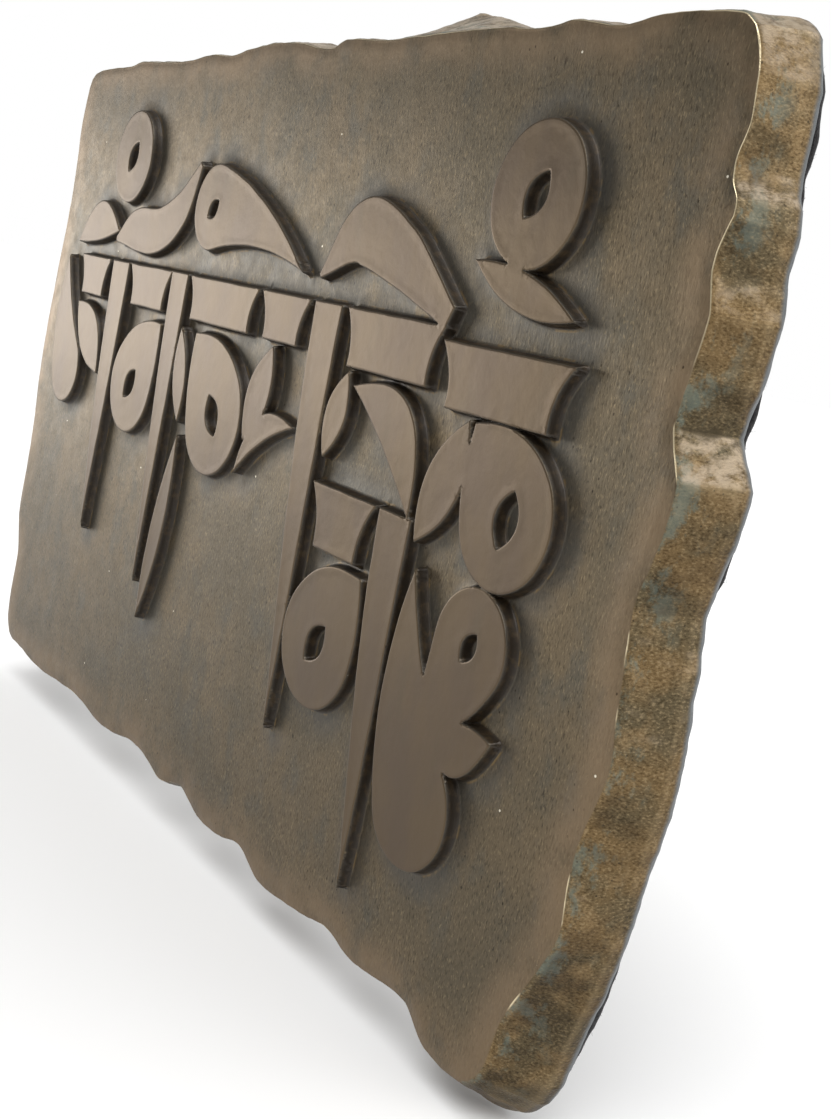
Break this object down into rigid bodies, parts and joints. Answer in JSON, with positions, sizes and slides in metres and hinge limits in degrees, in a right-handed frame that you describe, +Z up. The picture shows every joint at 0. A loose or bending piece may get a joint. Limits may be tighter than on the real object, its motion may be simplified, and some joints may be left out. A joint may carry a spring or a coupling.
{
  "type": "mantra wall plaque",
  "caption": "Cast bronze wall plaque, a long tablet with a chipped, flaring edge, raised strokes hanging from a head line on its face and a thin felt sheet on its back.",
  "frame": {"origin": "Middle of the plaque's back, on the outer face of the felt, where it lies on the wall.", "axes": "+X across the plaque, to the right as seen from the front; +Y into the wall; +Z up. The face looks along -Y."},
  "size_m": [0.2441, 0.0162, 0.1629],
  "materials": {
    "bronze": "satin, worn and patinated",
    "felt": "matte felt"
  },
  "bodies": {
    "root": {"cast_plaque": "bronze", "felt_backing": "felt"}
  },
  "joints": []
}
